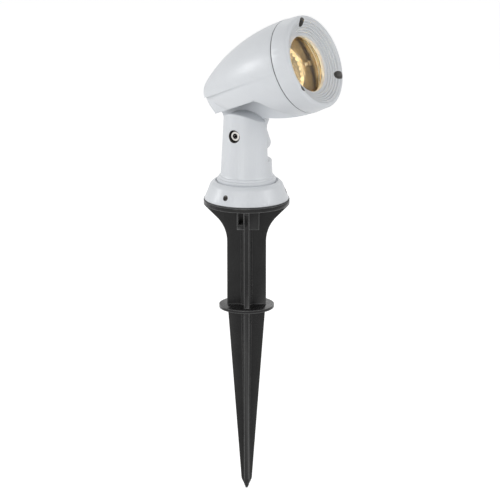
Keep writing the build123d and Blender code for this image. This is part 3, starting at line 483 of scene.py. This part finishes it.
# ---- glass ---------------------------------------------------------------------------------------
# The front disc is toughened clear glass with polished faces; the lamp's own lens is pressed.
def clear_glass(name, rough, tint, index):
    """Clear glass that lets lamp light through without waiting for caustics.

    The index is set below that of real glass, about 1.5, so that the pane mirrors less of
    the white surround and the chamber behind it stays in view.
    """
    material = bpy.data.materials.new(name)
    material.use_nodes = True
    tree = material.node_tree
    skin = tree.nodes["Principled BSDF"]
    skin.inputs["Base Color"].default_value = (*tint, 1.0)
    skin.inputs["Roughness"].default_value = rough
    skin.inputs["Transmission Weight"].default_value = 1.0
    skin.inputs["IOR"].default_value = index
    through = add(tree, "ShaderNodeBsdfTransparent")
    through.inputs["Color"].default_value = (*tint, 1.0)
    kind = add(tree, "ShaderNodeLightPath")
    pick = add(tree, "ShaderNodeMixShader")
    out = tree.nodes["Material Output"]
    tree.links.new(kind.outputs["Is Shadow Ray"], pick.inputs[0])
    tree.links.new(skin.outputs["BSDF"], pick.inputs[1])
    tree.links.new(through.outputs["BSDF"], pick.inputs[2])
    tree.links.new(pick.outputs["Shader"], out.inputs["Surface"])
    return material


front_glass = clear_glass("front_glass", 0.0, (0.99, 0.98, 0.95), 1.16)
wear(front_glass, "front_glass")
lens_glass = clear_glass("lamp_lens", 0.03, (0.98, 0.96, 0.92), 1.25)
wear(lens_glass, "lamp_lens")

# ---- lamp ------------------------------------------------------------------------------------------
# A pressed-glass reflector with an aluminised inside, and a warm white source at its neck.
mirror = finish(
    "reflector", (0.86, 0.80, 0.70), (0.90, 0.84, 0.74), 0.16, 0.05, 900.0, 300.0, 0.00002, Metallic=1.0,
)
wear(mirror, "lamp_reflector")
phosphor = bpy.data.materials.new("warm_phosphor")
phosphor.use_nodes = True
glow = phosphor.node_tree.nodes["Principled BSDF"]
glow.inputs["Base Color"].default_value = (0.98, 0.85, 0.55, 1.0)
glow.inputs["Emission Color"].default_value = (1.0, 0.77, 0.42, 1.0)
glow.inputs["Emission Strength"].default_value = 70.0
wear(phosphor, "lamp_emitter")


def ring_mesh(name, points):
    """Quads over a grid of points (rows by columns by 3), each row closed round."""
    rows, columns = points.shape[:2]
    index = np.arange(rows * columns).reshape(rows, columns)
    index = np.concatenate([index, index[:, :1]], axis=1)
    quads = np.stack([index[:-1, :-1], index[:-1, 1:], index[1:, 1:], index[1:, :-1]], axis=-1)
    mesh = bpy.data.meshes.new(name)
    mesh.from_pydata(points.reshape(-1, 3), [], quads.reshape(-1, 4).tolist())
    piece = bpy.data.objects.new(name, mesh)
    bpy.context.scene.collection.objects.link(piece)
    return piece


# The reflector's inside is pressed into rings of flat facets that spread the beam. The bowl
# is a parabola, radius = rim * sqrt(depth), from the neck (depth 0.07) to the rim (depth 1).
facet_rings = 6
facets_round = 28
bowl_front = 0.0697
bowl_back = 0.0362
bowl_rim_r = 0.0236
neck_depth = 0.07
depth = np.linspace(neck_depth, 1.0, facet_rings + 1)[:, None]
turn = np.arange(facets_round)[None, :] * 2 * pi / facets_round
bowl_r = bowl_rim_r * np.sqrt(depth) + 0 * turn
facet_points = in_head(
    bowl_back + (bowl_front - bowl_back) * depth + 0 * turn, bowl_r * np.cos(turn), bowl_r * np.sin(turn)
)
facets = ring_mesh("lamp_facets", facet_points)
facet_gold = finish(
    "facet_gold", (0.92, 0.82, 0.62), (0.95, 0.87, 0.70), 0.14, 0.04, 900.0, 300.0, 0.00002, Metallic=1.0,
)
# The lamp is lit. The facets glow by a formula that stands in for traced light: stronger
# towards the neck and the low side, and uneven from facet to facet.
glow_light = np.array([1.0, 0.80, 0.46, 1.0])
ring = np.arange(facet_rings)[:, None]
place = np.arange(facets_round)[None, :]
uneven = 0.5 + 0.5 * np.sin(2.3 * place + 1.7 * ring) * np.cos(0.9 * place - 2.1 * ring)
low_side = 0.5 - 0.5 * np.sin(2 * pi * place / facets_round)
share = (0.15 + 0.85 * (1.0 - ring / facet_rings)) * (0.3 + 0.7 * uneven) * (0.35 + 0.65 * low_side)
face_glow = share.reshape(-1, 1) * glow_light
face_glow[:, 3] = 1.0
glow_layer = facets.data.color_attributes.new("glow", "FLOAT_COLOR", "CORNER")
glow_layer.data.foreach_set("color", np.repeat(face_glow, 4, axis=0).ravel())
tree = facet_gold.node_tree
glow_node = add(tree, "ShaderNodeVertexColor", layer_name="glow")
facet_skin = tree.nodes["Principled BSDF"]
tree.links.new(glow_node.outputs["Color"], facet_skin.inputs["Emission Color"])
facet_skin.inputs["Emission Strength"].default_value = 5.0
facets.data.materials.append(facet_gold)
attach(facets, "head")

# ---- floor, backdrop and lights -------------------------------------------------------------------
# A plain white sweep under the spike's tip and a white surround, with four soft boxes.
def plainly_seen(tree):
    """1 where the camera sees a surface directly, in a reflection or through glass, else 0."""
    path = add(tree, "ShaderNodeLightPath")
    direct = add(tree, "ShaderNodeMath", operation="ADD")
    seen = add(tree, "ShaderNodeMath", operation="ADD", use_clamp=True)
    tree.links.new(path.outputs["Is Camera Ray"], direct.inputs[0])
    tree.links.new(path.outputs["Is Glossy Ray"], direct.inputs[1])
    tree.links.new(direct.outputs[0], seen.inputs[0])
    tree.links.new(path.outputs["Is Transmission Ray"], seen.inputs[1])
    return seen.outputs[0]


floor_gap = 0.0005
floor_z = cad_box[0][2] - floor_gap
floor_half = 3.0
floor_mesh = bpy.data.meshes.new("floor")
floor_mesh.from_pydata(
    [(x * floor_half, y * floor_half, floor_z) for x, y in ((-1, -1), (1, -1), (1, 1), (-1, 1))],
    [], [(0, 1, 2, 3)],
)
floor = bpy.data.objects.new("floor", floor_mesh)
bpy.context.scene.collection.objects.link(floor)
floor_paint = bpy.data.materials.new("floor_white")
floor_paint.use_nodes = True
tree = floor_paint.node_tree
floor_skin = tree.nodes["Principled BSDF"]
floor_skin.inputs["Base Color"].default_value = (0.82, 0.82, 0.82, 1.0)
floor_skin.inputs["Roughness"].default_value = 0.9
lift = add(tree, "ShaderNodeMath", operation="MULTIPLY")
lift.inputs[1].default_value = 0.55
tree.links.new(plainly_seen(tree), lift.inputs[0])
floor_skin.inputs["Emission Color"].default_value = (1.0, 1.0, 1.0, 1.0)
tree.links.new(lift.outputs[0], floor_skin.inputs["Emission Strength"])
floor_mesh.materials.append(floor_paint)

world = bpy.data.worlds.new("world")
world.use_nodes = True
tree = world.node_tree
back = tree.nodes["Background"]
strength = add(tree, "ShaderNodeMapRange")
strength.inputs["To Min"].default_value = 0.50
strength.inputs["To Max"].default_value = 1.0
tree.links.new(plainly_seen(tree), strength.inputs["Value"])
tree.links.new(strength.outputs["Result"], back.inputs["Strength"])
back.inputs["Color"].default_value = (1.0, 1.0, 1.0, 1.0)
bpy.context.scene.world = world


def soft_box(name, turn, rise, away, size, watts):
    """A square area light that faces the stem's middle, from a turn and a rise in degrees."""
    stem_middle = 0.15
    data = bpy.data.lights.new(name, "AREA")
    data.size = size
    data.energy = watts
    lamp = bpy.data.objects.new(name, data)
    bpy.context.scene.collection.objects.link(lamp)
    turn, rise = radians(turn), radians(rise)
    lamp.location = (
        away * sin(turn) * cos(rise),
        -away * cos(turn) * cos(rise),
        away * sin(rise) + stem_middle,
    )
    lamp.rotation_euler = (pi / 2 - rise, 0, turn)


soft_box("key", 10.0, 12.0, 1.6, 0.8, 7.0)
soft_box("left", -60.0, 12.0, 1.6, 0.35, 5.4)
soft_box("fill", 100.0, 20.0, 1.8, 0.7, 7.0)
soft_box("rim", 210.0, 40.0, 1.8, 1.2, 3.0)
